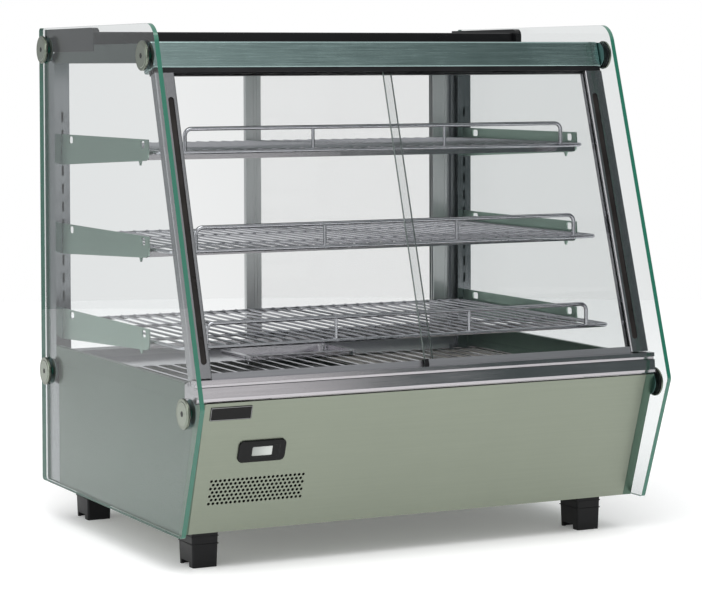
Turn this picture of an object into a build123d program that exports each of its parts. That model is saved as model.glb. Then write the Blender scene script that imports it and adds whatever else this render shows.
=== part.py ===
from build123d import *
import math
import os

# Countertop hot food display case. Millimetres, +Z up, +X to the right seen from the customer's side.
# Origin: centre of the footprint on the worktop. The sloped glass front is at -Y, the serving doors at +Y.

# ---- driving dimensions ----
WIDTH = 678.0            # over the outer faces of the two glass ends
DEPTH = 566.6            # front bulge of the glass ends to their rear edge
HEIGHT = 686.0           # worktop to the top edge of the glass ends
GLASS_T = 6.0
FOOT_H = 49.5
BULGE_Z = 216.0          # height of the glass ends' foremost corner
FRONT_LOW_Y = -221.4     # lower front corner of the glass ends
FRONT_TOP_Y = -138.5     # upper front corner before rounding

X_GLASS = WIDTH / 2 - GLASS_T      # inner face of the glass ends
X_SKIN = 332.0                     # outer face of everything between the glass ends
SHEET = 1.2                        # sheet steel of the base
Y_REAR = DEPTH / 2
BULGE_R = 12.0
TOP_R = 30.0                       # upper front corner of the glass ends
BULGE_CUT = 0.7                    # what rounding the bulge takes off its sharp corner
Y_FRONT = -DEPTH / 2 - BULGE_CUT   # sharp corner of the bulge, where the sloped front's frame starts
GAP = 0.3

# base
BASE_TOP = 219.0
BASE_FRONT_TOP_Y = -254.0          # outer face of the sloped front at BASE_TOP
BASE_FRONT_LOW_Y = -197.0          # outer face of the sloped front at BASE_LOW
BASE_LOW = 49.5
FLANGE = 12.5                      # front return of each side panel
SIDE_END_Y = 231.0                 # rear end of the side panels
DECK_Z = 221.5
DECK_T = 1.5
RAIL_TOP = 242.5                   # top of the rails either side of the deck
RAIL_T = 7.0
SILL_BACK_Y = -219.5

# sloped front: s runs up the slope, d runs inwards square to it, from the glass ends' front edge
LEAN = math.atan((FRONT_TOP_Y - Y_FRONT) / (HEIGHT - BULGE_Z))
SIN, COS = math.sin(LEAN), math.cos(LEAN)
PANE_T = 4.0
OUTER_PANE_D = 34.0
INNER_PANE_D = 41.0
CHANNEL_LOW, CHANNEL_TOP = 43.0, 51.5
CHANNEL_WALL = 1.2
PANE_TOP = 452.0
RAIL_D, RAIL_DEPTH = 31.5, 32.0
PLUG_LONG = 12.0
RAIL_LOW, RAIL_HIGH = 443.0, 478.5
SEAL_LOW = 437.0
GRIP_D, GRIP_DEPTH = 30.3, 15.2
GRIP_IN, GRIP_OUT = 304.5, 331.0   # |x| of the pull profiles
PULL_X, PULL_W = 313.3, 7.8
PULL_LOW, PULL_HIGH = 61.0, 404.0
OVERLAP_LEFT, OVERLAP_RIGHT = -5.0, 10.5

# rear: posts, door tracks, and the two sliding doors, both shown slid to the right
POST_IN = 310.0
POST_FRONT_Y = 241.5
POST_TOP = 651.0
TRACK_FRONT_Y = 251.5
DOOR_LOW, DOOR_HIGH = 233.0, 647.0
DOOR_T = 7.0
STILE = 24.0
PULL_STILE = 30.0                  # the outer door's right stile is wider
DOOR_RAIL = 10.0                   # height of a door's top and bottom rails
INNER_DOOR = (-33.0, 300.0, 257.0)  # left edge, right edge, front face
OUTER_DOOR = (-29.0, 308.0, 266.5)

# roof
ROOF_LOW, ROOF_STEP, ROOF_TOP = 636.5, 652.0, 661.0
HOUSING_FRONT_Y = 99.0
HOUSING_TOP = 678.4
END_PLATE_TOP = 684.0
END_PLATE_Y = 90.0

# shelves: wire height, front rail distance; brackets are all alike
SHELVES = {"top": (521.5, -102.0), "middle": (397.0, -136.0), "bottom": (278.0, -168.0)}
SHELF_X = 314.0
SHELF_REAR_Y = 238.0
GUARD_X = 280.0
GUARD_POST_X = 98.0
GUARD_RISE = 30.0
FRAME_R = 2.7
WIRE_R = 1.5
WIRES = 31
BRACKET_X = 320.5
BRACKET_T = 2.0
BRACKET_FRONT_Y = -77.0
LEDGE_GAP = 0.3
BRACKET_WINDOWS = ((-59.5, 13.5), (206.0, 16.0))  # middle and length of each window along the plate

# deck slots and water pan
DECK_REAR_Y = 250.7
BAFFLE_DROP, HEATER_DROP = 3.0, 9.5  # below the deck's top face
SLOTS = 24
SLOT_PITCH = 23.0
SLOT_W = 18.0
SLOT_FRONT_Y, SLOT_REAR_Y = -205.0, 128.0
PAN_X, PAN_Y, PAN_MID_Y = 176.0, 108.0, 187.0
PAN_DEEP = 40.0

STANDOFFS = [(262.0, 656.0), (-112.0, 645.0), (258.5, 206.0), (-239.0, 207.0)]
CAP_R, CAP_PROUD = 19.2, 5.0
BARREL_R, BARREL_LONG = 17.2, 2.2  # spacer ring between a cap and the glass
GLASS_HOLE_R = 5.2
BOLT_R = 4.0
BOLT_PASSAGE_R = 4.4
BOLT_END = 322.5                   # inner end of the standoff bolts

os.makedirs("parts", exist_ok=True)


def save(name, *solids):
    """One node: a single solid, or a group of separate ones."""
    shape = solids[0] if len(solids) == 1 else Compound(children=list(solids))
    export_step(shape, f"parts/{name}.step")


def box(x0, x1, y0, y1, z0, z1):
    middle = Pos((x0 + x1) / 2, (y0 + y1) / 2, (z0 + z1) / 2)
    return middle * Box(abs(x1 - x0), abs(y1 - y0), abs(z1 - z0))


def cylinder_y(x, y, z, r, length):
    """A cylinder along Y, centred on the point."""
    return Pos(x, y, z) * Rot(90, 0, 0) * Cylinder(r, length)


def prism_x(points, x0, x1):
    """A closed YZ outline extruded from x0 to x1."""
    face = make_face(Polyline(*[(x0, y, z) for y, z in points], close=True))
    return extrude(face, amount=x1 - x0, dir=(1, 0, 0))


def slope_point(s, d):
    return (Y_FRONT + s * SIN + d * COS, BULGE_Z + s * COS - d * SIN)


def slope_box(x0, x1, s0, s1, d0, d1):
    """A block square to the sloped front."""
    corners = [slope_point(s0, d0), slope_point(s1, d0), slope_point(s1, d1), slope_point(s0, d1)]
    return prism_x(corners, x0, x1)


def slope_plane(x, s, d):
    """Plane on the sloped front: local X along +X, local Y up the slope, local Z outwards."""
    y, z = slope_point(s, d)
    return Plane(origin=(x, y, z), x_dir=(1, 0, 0), z_dir=(0, -COS, SIN))


def mirrored(shape):
    return shape.mirror(Plane.YZ)


def bent_rod(points, r, bend):
    """A round bar with true bends of centre radius bend."""
    wire = FilletPolyline(*points, radius=bend)
    start = Plane(origin=wire @ 0, z_dir=wire % 0)
    return sweep(start * Circle(r), path=wire)


def base_front_y(z):
    t = (BASE_TOP - z) / (BASE_TOP - BASE_LOW)
    return BASE_FRONT_TOP_Y + t * (BASE_FRONT_LOW_Y - BASE_FRONT_TOP_Y)


BASE_LEAN = math.atan((BASE_FRONT_LOW_Y - BASE_FRONT_TOP_Y) / (BASE_TOP - BASE_LOW))


def base_plane(x, z):
    """Plane on the base's sloped front: local Y up along it, local Z outwards."""
    outward = (0, -math.cos(BASE_LEAN), -math.sin(BASE_LEAN))
    return Plane(origin=(x, base_front_y(z), z), x_dir=(1, 0, 0), z_dir=outward)


# ---- glass ends and their standoffs ----
def glass_end():
    """Right glass end: five corners, each rounded to its own radius, and a hole for each standoff."""
    corner_r = {(Y_REAR, FOOT_H): 5.0, (FRONT_LOW_Y, FOOT_H): 5.0, (Y_FRONT, BULGE_Z): BULGE_R,
                (FRONT_TOP_Y, HEIGHT): TOP_R, (Y_REAR, HEIGHT): 5.0}
    face = make_face(Polyline(*corner_r, close=True))
    for (y, z), r in corner_r.items():
        near = face.vertices().sort_by_distance((y, z, 0))[0]
        face = fillet(near, r)
    for y, z in STANDOFFS:
        face = face - Pos(y, z) * Circle(GLASS_HOLE_R)
    upright = Plane(origin=(X_GLASS, 0, 0), x_dir=(0, 1, 0), z_dir=(1, 0, 0)) * face
    return extrude(upright, amount=GLASS_T, dir=(1, 0, 0))


def disc_x(y, z, r, x0, x1, edge=0.0):
    disc = Pos((x0 + x1) / 2, y, z) * Rot(0, 90, 0) * Cylinder(r, x1 - x0)
    if edge:
        disc = chamfer(disc.edges().filter_by(GeomType.CIRCLE).sort_by(Axis.X)[-1], edge)
    return disc


def standoffs():
    glass_out = WIDTH / 2
    caps, barrels, bolts = [], [], []
    for y, z in STANDOFFS:
        cap = disc_x(y, z, CAP_R, glass_out + BARREL_LONG, glass_out + CAP_PROUD, 0.6)
        barrel = disc_x(y, z, BARREL_R, glass_out, glass_out + BARREL_LONG)
        bolt = disc_x(y, z, BOLT_R, BOLT_END, glass_out)
        bolt = bolt + disc_x(y, z, BARREL_R, X_SKIN + 0.1, X_GLASS)
        for side in (1, -1):
            caps.append(cap if side == 1 else mirrored(cap))
            barrels.append(barrel if side == 1 else mirrored(barrel))
            bolts.append(bolt if side == 1 else mirrored(bolt))
    save("standoff_caps", *caps)
    save("standoff_barrels", *barrels)
    save("standoff_bolts", *bolts)


# ---- base ----
def bolt_clearance(y, z):
    return disc_x(y, z, BOLT_PASSAGE_R, X_SKIN - 40.0, X_SKIN + 1.0)


def side_panel():
    """Right side panel with its front return flange, top and bottom returns."""
    outline = [(SIDE_END_Y, BASE_LOW), (BASE_FRONT_LOW_Y, BASE_LOW),
               (BASE_FRONT_TOP_Y, BASE_TOP), (SIDE_END_Y, BASE_TOP)]
    outer = prism_x(outline, X_SKIN - FLANGE, X_SKIN)
    inner = [(SIDE_END_Y + 1, BASE_LOW + SHEET), (BASE_FRONT_LOW_Y + SHEET, BASE_LOW + SHEET),
             (BASE_FRONT_TOP_Y + SHEET, BASE_TOP - SHEET), (SIDE_END_Y + 1, BASE_TOP - SHEET)]
    panel = outer - prism_x(inner, X_SKIN - FLANGE - 1, X_SKIN - SHEET)
    for y, z in STANDOFFS[2:]:
        panel = panel - bolt_clearance(y, z)
    return panel


GRILLE_COLUMNS, GRILLE_ROWS, GRILLE_PITCH, GRILLE_HOLE = 22, 7, 6.0, 1.9
GRILLE_X, GRILLE_Z = -234.0, 103.0
METER_X, METER_Z, METER_W, METER_H = -234.2, 154.0, 64.5, 29.5
BADGE_X, BADGE_Z, BADGE_W, BADGE_H = -283.0, 205.5, 56.0, 18.0
PANEL_RETURN = 14.0                # depth of the front panel's top and bottom returns


def front_band(near, far, inset, x):
    """The space between two depths behind the sloped front face, inset from its top and bottom."""
    low, high = BASE_LOW + inset, BASE_TOP - inset
    corners = [(BASE_FRONT_LOW_Y + near, low), (BASE_FRONT_TOP_Y + near, high),
               (BASE_FRONT_TOP_Y + far, high), (BASE_FRONT_LOW_Y + far, low)]
    return prism_x(corners, -x, x)


def front_panel():
    """Sloped front sheet between the side flanges, with the vent holes and the thermometer cut-out."""
    x = X_SKIN - FLANGE - GAP
    panel = front_band(0.0, PANEL_RETURN, 0.0, x) - front_band(SHEET, PANEL_RETURN + 1, SHEET, x + 1)
    row_gap = GRILLE_PITCH * math.sin(math.radians(60))
    holes = []
    for row in range(GRILLE_ROWS):
        columns = GRILLE_COLUMNS - row % 2
        for column in range(columns):
            dx = (column - (columns - 1) / 2) * GRILLE_PITCH
            dy = ((GRILLE_ROWS - 1) / 2 - row) * row_gap
            holes.append(Pos(dx, dy) * Circle(GRILLE_HOLE))
    grille = extrude(base_plane(GRILLE_X, GRILLE_Z) * Sketch(holes), amount=3.0, both=True)
    opening = base_plane(METER_X, METER_Z) * RectangleRounded(METER_W - 8, METER_H - 7, 4)
    meter = extrude(opening, amount=4.0, both=True)
    return panel - grille - meter


def thermometer():
    plane = base_plane(METER_X, METER_Z)
    bezel = extrude(plane * RectangleRounded(METER_W, METER_H, 7), amount=2.6)
    bezel = fillet(bezel.faces().sort_by(Axis.Y)[0].edges(), 1.2)
    bezel = bezel + extrude(plane * RectangleRounded(METER_W - 9, METER_H - 8, 3.6), amount=-18.0)
    window = extrude(plane.offset(0.9) * RectangleRounded(28.0, 13.0, 1.5), amount=3.0)
    save("thermometer_bezel", bezel - window)
    save("thermometer_display", extrude(plane.offset(0.9) * RectangleRounded(27.6, 12.6, 1.4), amount=0.9))


def badge():
    plate = base_plane(BADGE_X, BADGE_Z) * RectangleRounded(BADGE_W, BADGE_H, 1.5)
    save("blank_name_plate", extrude(plate, amount=0.8))


def bottom_pan():
    z0, z1 = BASE_LOW + SHEET, BASE_LOW + 2 * SHEET
    wide = X_SKIN - SHEET - GAP
    narrow = POST_IN - GAP
    pan = box(-wide, wide, BASE_FRONT_LOW_Y + 16.0, SIDE_END_Y, z0, z1)
    return pan + box(-narrow, narrow, SIDE_END_Y, Y_REAR - 6.0, z0, z1)


REAR_PANEL_Y = 270.0
LOUVRES, LOUVRE_PITCH, LOUVRE_LOW_Z = 9, 10.0, 88.0
LOUVRE_X = (-250.0, -130.0)


def rear_panel():
    """Rear sheet of the base between the posts, with cut-outs for the controls and louvre slots."""
    x = POST_IN - GAP
    panel = box(-x, x, REAR_PANEL_Y, REAR_PANEL_Y + SHEET, BASE_LOW + 2 * SHEET, BASE_TOP - 2.0)
    for cx in SWITCH_XS:
        half = SWITCH_W / 2 + 0.5
        low, high = CONTROL_Z - SWITCH_H / 2 - 0.5, CONTROL_Z + SWITCH_H / 2 + 0.5
        panel = panel - box(cx - half, cx + half, REAR_PANEL_Y - 5, REAR_PANEL_Y + 5, low, high)
    panel = panel - cylinder_y(KNOB_X, REAR_PANEL_Y, CONTROL_Z, 5.0, 12.0)
    panel = panel - cylinder_y(GLAND_X, REAR_PANEL_Y, GLAND_Z, GLAND_R + 0.2, 12.0)
    for i in range(LOUVRES):
        z = LOUVRE_LOW_Z + LOUVRE_PITCH * i
        panel = panel - box(*LOUVRE_X, REAR_PANEL_Y - 5, REAR_PANEL_Y + 5, z - 2.0, z + 2.0)
    return panel


FOOT_X = 283.4
FOOT_W, FOOT_D = 36.5, 47.0
FOOT_YS = (-168.6, 204.0)          # front face of the front and rear feet


def foot(front_y):
    """Moulded foot: tapered, hollow from below, its side walls raised a little off the worktop."""
    top = Pos(0, 0, FOOT_H) * RectangleRounded(FOOT_W, FOOT_D, 3)
    sole = RectangleRounded(FOOT_W - 3.2, FOOT_D - 2.5, 3)
    roof = Pos(0, 0, FOOT_H - 6) * Rectangle(FOOT_W - 8, FOOT_D - 8)
    mouth = Rectangle(FOOT_W - 11, FOOT_D - 10)
    outer = loft([top, sole])
    hollow = loft([roof, mouth])
    body = outer - hollow
    body = body - Pos(0, 3, 3) * Box(FOOT_W + 4, FOOT_D - 22, 6.6)
    return Pos(0, front_y + FOOT_D / 2, 0) * body


def feet():
    solids = []
    for front_y in FOOT_YS:
        for side in (1, -1):
            solids.append(Pos(side * FOOT_X, 0, 0) * foot(front_y))
    save("feet", *solids)


# ---- sill, deck and deck rails ----
def front_sill():
    front = [(-254.0, 220.0), (-256.4, 222.0), (-256.4, 225.5), (-255.2, 238.8), (-252.6, 239.6),
             (-252.6, 242.2), (-254.6, 243.0), (-254.2, 248.0), (-242.2, 248.0)]
    top = [slope_point(CHANNEL_LOW - 0.6, RAIL_D), slope_point(CHANNEL_LOW - 0.6, 52.0)]
    back = [(SILL_BACK_Y, 240.0), (SILL_BACK_Y, 220.0)]
    sill = prism_x(front + top + back, -X_SKIN, X_SKIN)
    cavity = [(-253.4, 221.6), (-252.8, 236.0), (-221.1, 233.0), (-221.1, 221.6)]
    sill = sill - prism_x(cavity, -X_SKIN + 1.5, X_SKIN - 1.5)
    for pane_d in (OUTER_PANE_D, INNER_PANE_D):
        mid = pane_d + PANE_T / 2
        sill = sill - slope_box(-X_GLASS, X_GLASS, CHANNEL_LOW - 6.6, CHANNEL_LOW, mid - 1.4, mid + 1.4)
    return sill


def deck_rail():
    y0, y1 = SILL_BACK_Y + GAP, POST_FRONT_Y - GAP
    return box(X_SKIN - RAIL_T, X_SKIN, y0, y1, BASE_TOP + 0.2, RAIL_TOP)


def deck_plate():
    """Slotted stainless deck with turned-down edges and the water pan's cut-out."""
    x = X_SKIN - RAIL_T - GAP
    narrow = POST_IN - 1.0
    y0, y1 = SILL_BACK_Y + GAP, POST_FRONT_Y - GAP
    plate = box(-x, x, y0, y1, DECK_Z - DECK_T, DECK_Z)
    plate = plate + box(-narrow, narrow, y1, DECK_REAR_Y, DECK_Z - DECK_T, DECK_Z)
    plate = plate + box(-X_SKIN + 14, X_SKIN - 14, y0, y0 + DECK_T, DECK_Z - 14, DECK_Z)
    plate = plate + box(-narrow, narrow, DECK_REAR_Y - DECK_T, DECK_REAR_Y, DECK_Z - 14, DECK_Z)
    slots = []
    length = SLOT_REAR_Y - SLOT_FRONT_Y
    mid = (SLOT_REAR_Y + SLOT_FRONT_Y) / 2
    for i in range(SLOTS):
        dx = (i - (SLOTS - 1) / 2) * SLOT_PITCH
        slots.append(Pos(dx, mid) * Rot(0, 0, 90) * SlotOverall(length, SLOT_W))
    slots.append(Pos(0, PAN_MID_Y) * RectangleRounded(PAN_X - 10, PAN_Y - 10, 13))
    return plate - extrude(Plane.XY.offset(DECK_Z - 8) * Sketch(slots), amount=16)


def water_pan():
    """Small gastronorm pan: flat rim with a turned-down lip, tapered well."""
    rim_z = DECK_Z + 0.4
    rim_h = 3.4
    outer = Pos(0, PAN_MID_Y, rim_z) * extrude(RectangleRounded(PAN_X, PAN_Y, 17), amount=rim_h)
    under = extrude(RectangleRounded(PAN_X - 2, PAN_Y - 2, 16), amount=rim_h - 1.0)
    under = Pos(0, PAN_MID_Y, rim_z) * under
    rim = fillet(outer.faces().sort_by(Axis.Z)[-1].edges(), 0.8) - under
    low = rim_z - PAN_DEEP
    top = rim_z + rim_h
    well = loft([Pos(0, PAN_MID_Y, top) * RectangleRounded(PAN_X - 14, PAN_Y - 14, 11),
                 Pos(0, PAN_MID_Y, low) * RectangleRounded(PAN_X - 24, PAN_Y - 24, 9)])
    hollow = loft([Pos(0, PAN_MID_Y, top + 0.5) * RectangleRounded(PAN_X - 16, PAN_Y - 16, 10),
                   Pos(0, PAN_MID_Y, low + 1.0) * RectangleRounded(PAN_X - 26, PAN_Y - 26, 8)])
    return rim + well - hollow


def under_deck():
    """Black heater plate under the left slots, pale air baffle under the right ones, element below."""
    split = SLOT_PITCH
    reach = SLOTS / 2 * SLOT_PITCH - 2.0
    y0, y1 = SLOT_FRONT_Y - 8, SLOT_REAR_Y + 4
    z = DECK_Z - HEATER_DROP
    save("heater_plate", box(-reach, split - 0.5, y0, y1, z - 1.5, z))
    z = DECK_Z - BAFFLE_DROP
    save("air_baffle", box(split + 0.5, reach, y0, y1, z - 1.2, z))
    z = 198.0
    route = [(-260, 60, z), (-60, 60, z), (-60, -150, z), (60, -150, z), (60, 60, z), (260, 60, z)]
    save("heating_element", bent_rod(route, 4.0, 25.0))


# ---- rear posts, tracks, doors ----
HOOK_PITCH, HOOK_LOW_Z, HOOK_SLOTS = 25.0, 262.0, 13
HOOK_DZ = (8.0, -16.0)             # a bracket's two hooks, from its shelf's height


def rear_post():
    """Right rear post: a channel whose front face carries the pilaster slots for the brackets."""
    wall = 1.5
    y1 = Y_REAR - 1.0
    post = box(POST_IN, X_SKIN, POST_FRONT_Y, y1, BASE_LOW, POST_TOP)
    x0, x1 = POST_IN + wall, X_SKIN - wall
    post = post - box(x0, x1, POST_FRONT_Y + wall, y1 - wall, BASE_LOW - 1, POST_TOP - wall)
    post = post + box(POST_IN, X_SKIN, SIDE_END_Y + 0.8, POST_FRONT_Y, BASE_LOW, BASE_TOP - 1.0)
    for i in range(HOOK_SLOTS):
        post = post - Pos(BRACKET_X, POST_FRONT_Y, HOOK_LOW_Z + HOOK_PITCH * i) * Box(3.0, 20.0, 14.0)
    for z, _ in SHELVES.values():
        for dz in HOOK_DZ:
            post = post - Pos(BRACKET_X, POST_FRONT_Y, z + dz - 1.0) * Box(3.0, 20.0, 12.0)
    for y, z in (STANDOFFS[0], STANDOFFS[2]):
        post = post - disc_x(y, z, BOLT_PASSAGE_R, X_SKIN - 16.0, X_SKIN + 1.0)
    return post


def rear_track_low():
    """Bottom track of the serving doors: two grooves in a raised rail over the base's rear edge."""
    x = POST_IN - GAP
    track = box(-x, x, TRACK_FRONT_Y, Y_REAR - 2.0, BASE_TOP - 1.5, DOOR_LOW - 0.5)
    for _, _, y in (INNER_DOOR, OUTER_DOOR):
        keel_y = y + DOOR_T / 2
        track = track - box(-x - 1, x + 1, keel_y - 1.5, keel_y + 1.5, DOOR_LOW - 6.5, DOOR_LOW)
    return track


def rear_track_high():
    """Top track: a bar with a deep groove for each door's top rail."""
    x = POST_IN - GAP
    track = box(-x, x, TRACK_FRONT_Y, Y_REAR - 2.0, ROOF_LOW, ROOF_STEP)
    for _, _, y in (INNER_DOOR, OUTER_DOOR):
        track = track - box(-x - 1, x + 1, y - 0.6, y + DOOR_T + 0.6, ROOF_LOW - 1, DOOR_HIGH + 1.2)
    return track


def stile_bead(x, y):
    """Slot for the pair of fine grooves that run down a stile's customer side."""
    return box(x - 0.5, x + 0.5, y - 0.1, y + 0.8, DOOR_LOW + 1, DOOR_HIGH - 1)


def rear_door(x0, x1, y, right_stile, pull_x):
    """Glass pane in an aluminium frame, with a keel in the track below and a server's finger recess."""
    middle = y + DOOR_T / 2
    low, high = DOOR_LOW + DOOR_RAIL, DOOR_HIGH - DOOR_RAIL
    frame = box(x0, x1, y, y + DOOR_T, DOOR_LOW, DOOR_HIGH)
    frame = frame - box(x0 + STILE, x1 - right_stile, y - 1, y + DOOR_T + 1, low, high)
    frame = frame + box(x0 + 2, x1 - 2, middle - 1.0, middle + 1.0, DOOR_LOW - 5.0, DOOR_LOW)
    glass = box(x0 + STILE - 4, x1 - right_stile + 4, middle - 2.0, middle + 2.0, low - 5, high + 5)
    frame = frame - glass
    for x in (x0 + 12.5, x0 + 17.0, x1 - 4.5):
        frame = frame - stile_bead(x, y)
    face = Plane(origin=(pull_x, y + DOOR_T, 430), x_dir=(0, 0, 1), z_dir=(0, 1, 0))
    recess = extrude(face * SlotOverall(110, 12), amount=-2.2)
    return frame - recess, glass


# ---- roof ----
def section_plane(x, s, d):
    """Plane across the header at x: local X up the slope, local Z along +X."""
    return Plane(origin=(x, *slope_point(s, d)), x_dir=(0, SIN, COS), z_dir=(1, 0, 0))


def rail_section(x):
    middle_s, middle_d = (RAIL_HIGH + RAIL_LOW) / 2, RAIL_D + RAIL_DEPTH / 2
    return section_plane(x, middle_s, middle_d) * RectangleRounded(RAIL_HIGH - RAIL_LOW, RAIL_DEPTH, 2.6)


def pane_groove(pane_d, s0, s1):
    return slope_box(-X_SKIN, X_SKIN, s0, s1, pane_d - 0.5, pane_d + PANE_T + 0.5)


def top_rail():
    """Front header: a rounded box rail square to the slope, with the upper grooves of the panes."""
    x = X_SKIN - PLUG_LONG
    rail = extrude(rail_section(-x), amount=2 * x)
    bore = section_plane(-x - 1, RAIL_HIGH - 10.5, RAIL_D + RAIL_DEPTH / 2) * Rectangle(17.0, 28.0)
    rail = rail - extrude(bore, amount=2 * (x + 1))
    for pane_d in (OUTER_PANE_D, INNER_PANE_D):
        rail = rail - pane_groove(pane_d, RAIL_LOW - 1, PANE_TOP + 3.0)
    return rail


def rail_plug():
    """Rounded end plug of the header, on the right."""
    plug = extrude(rail_section(X_SKIN - PLUG_LONG + GAP), amount=PLUG_LONG - GAP)
    plug = fillet(plug.faces().sort_by(Axis.X)[-1].edges(), 2.4)
    return plug - bolt_clearance(*STANDOFFS[1])


def rail_seal():
    """Black lip under the header, split into three strips by the grooves."""
    seal = slope_box(-X_SKIN + 2, X_SKIN - 2, SEAL_LOW, RAIL_LOW, RAIL_D + 0.8, RAIL_D + 19.0)
    for pane_d in (OUTER_PANE_D, INNER_PANE_D):
        seal = seal - pane_groove(pane_d, SEAL_LOW - 1, RAIL_LOW + 1)
    return seal


def roof_rail():
    """Stepped rail along the top of the right glass end, from the header to the rear post."""
    y0 = slope_point(RAIL_HIGH, RAIL_D + RAIL_DEPTH)[0] + 1.0
    rail = box(X_SKIN - 20, X_SKIN, y0, POST_FRONT_Y - 1.5, ROOF_LOW, ROOF_STEP)
    rail = rail + box(X_SKIN - 20, X_SKIN - 1.2, y0, END_PLATE_Y - 0.5, ROOF_STEP, ROOF_TOP)
    rail = rail - box(X_SKIN - 18, X_SKIN - 2, y0 + 2, POST_FRONT_Y - 4, ROOF_LOW - 1, ROOF_STEP - 2)
    return rail - bolt_clearance(*STANDOFFS[1])


def roof_panel():
    x = X_SKIN - 20 - GAP
    y0 = slope_point(RAIL_HIGH, RAIL_D + RAIL_DEPTH)[0] + 1.5
    panel = box(-x, x, y0, HOUSING_FRONT_Y - 0.5, ROOF_TOP - 1.5, ROOF_TOP)
    panel = panel + box(-x, x, y0, y0 + 1.5, ROOF_TOP - 16, ROOF_TOP)
    panel = panel + box(-x, x, HOUSING_FRONT_Y - 2.0, HOUSING_FRONT_Y - 0.5, ROOF_LOW + 1, ROOF_TOP)
    return panel


def rear_housing():
    """Raised sheet housing over the serving side."""
    x = 322.0 - GAP
    y0, y1 = HOUSING_FRONT_Y, Y_REAR - 2
    z0, z1 = ROOF_STEP + 0.5, HOUSING_TOP
    housing = box(-x, x, y0, y1, z0, z1)
    front_top = housing.edges().filter_by(Axis.X).sort_by(lambda e: e.center().Y - e.center().Z)[0]
    housing = fillet(front_top, 2.0)
    return housing - box(-x + SHEET, x - SHEET, y0 + SHEET, y1 - SHEET, z0 + SHEET, z1 - SHEET)


def housing_base():
    """Flat soffit under the housing, from the roof panel back to the rear track."""
    x = POST_IN - GAP
    return box(-x, x, HOUSING_FRONT_Y, TRACK_FRONT_Y - 1.0, ROOF_LOW + 1, ROOF_LOW + 1 + SHEET)


def end_plate():
    """Raised end of the housing with a rounded upper front corner."""
    plate = box(322.0, 331.2, END_PLATE_Y, Y_REAR - 2, ROOF_STEP + 0.2, END_PLATE_TOP)
    front_top = plate.edges().filter_by(Axis.X).sort_by(lambda e: e.center().Y - e.center().Z)[0]
    plate = fillet(front_top, 10.0)
    return plate - bolt_clearance(*STANDOFFS[0])


def lamp():
    y, z = -60.0, 646.0
    tube = Pos(0, y, z) * Rot(0, 90, 0) * Cylinder(7.5, 520)
    save("lamp_tube", tube)
    ends = [Pos(side * 268, y, z + 2) * Box(16, 20, 22) for side in (1, -1)]
    save("lamp_holders", *[end - tube for end in ends])


# ---- sliding front panes ----
def front_pane(side):
    """Parts of one sliding pane; side -1 is the user's left pane on the inner track."""
    d = OUTER_PANE_D if side == 1 else INNER_PANE_D
    far = GRIP_IN + 3.6
    x0, x1 = (OVERLAP_LEFT, far) if side == 1 else (-far, OVERLAP_RIGHT)
    glass = slope_box(x0, x1, CHANNEL_LOW + 2.0, PANE_TOP, d, d + PANE_T)
    c0, c1 = (OVERLAP_LEFT + 4.2, GRIP_IN - 0.2) if side == 1 else (-GRIP_IN + 0.2, OVERLAP_RIGHT - 1)
    mid = d + PANE_T / 2
    wall = CHANNEL_WALL
    channel = slope_box(c0, c1, CHANNEL_LOW, CHANNEL_TOP, d - wall, d + PANE_T + wall)
    channel = channel + slope_box(c0, c1, CHANNEL_LOW - 5.2, CHANNEL_LOW, mid - 1.0, mid + 1.0)
    channel = channel - glass
    g0, g1 = sorted((side * GRIP_IN, side * GRIP_OUT))
    grip = slope_box(g0, g1, CHANNEL_LOW + 1.0, SEAL_LOW - 1.0, GRIP_D, GRIP_D + GRIP_DEPTH)
    grip = fillet(grip.edges().filter_by(lambda e: abs(e.tangent_at(0).Z) > 0.9), 1.5)
    length = PULL_HIGH - PULL_LOW
    slot_plane = slope_plane(side * PULL_X, (PULL_HIGH + PULL_LOW) / 2, GRIP_D)
    groove = extrude(slot_plane * Rot(0, 0, 90) * SlotOverall(length, PULL_W), amount=-3.4)
    core = extrude(slot_plane.offset(-5.4) * Pos(side * 6.4, 0) * Rectangle(9.0, 398.0), amount=-8.2)
    grip = grip - groove - core - glass
    insert = Rot(0, 0, 90) * SlotOverall(length - 0.4, PULL_W - 0.4)
    pull = extrude(slot_plane.offset(-1.6) * insert, amount=-1.8)
    return glass, channel, grip, pull


def pane_stop():
    """Black end block on the right pane's bottom channel, where the two panes overlap."""
    d = OUTER_PANE_D
    x0, x1 = OVERLAP_LEFT - 1.6, OVERLAP_LEFT + 4.0
    block = slope_box(x0, x1, CHANNEL_LOW, CHANNEL_TOP + 0.5, d - 1.4, d + PANE_T + 1.2)
    return block - slope_box(x0 - 1, x1 + 1, CHANNEL_LOW + 2.0, PANE_TOP, d, d + PANE_T)


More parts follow.
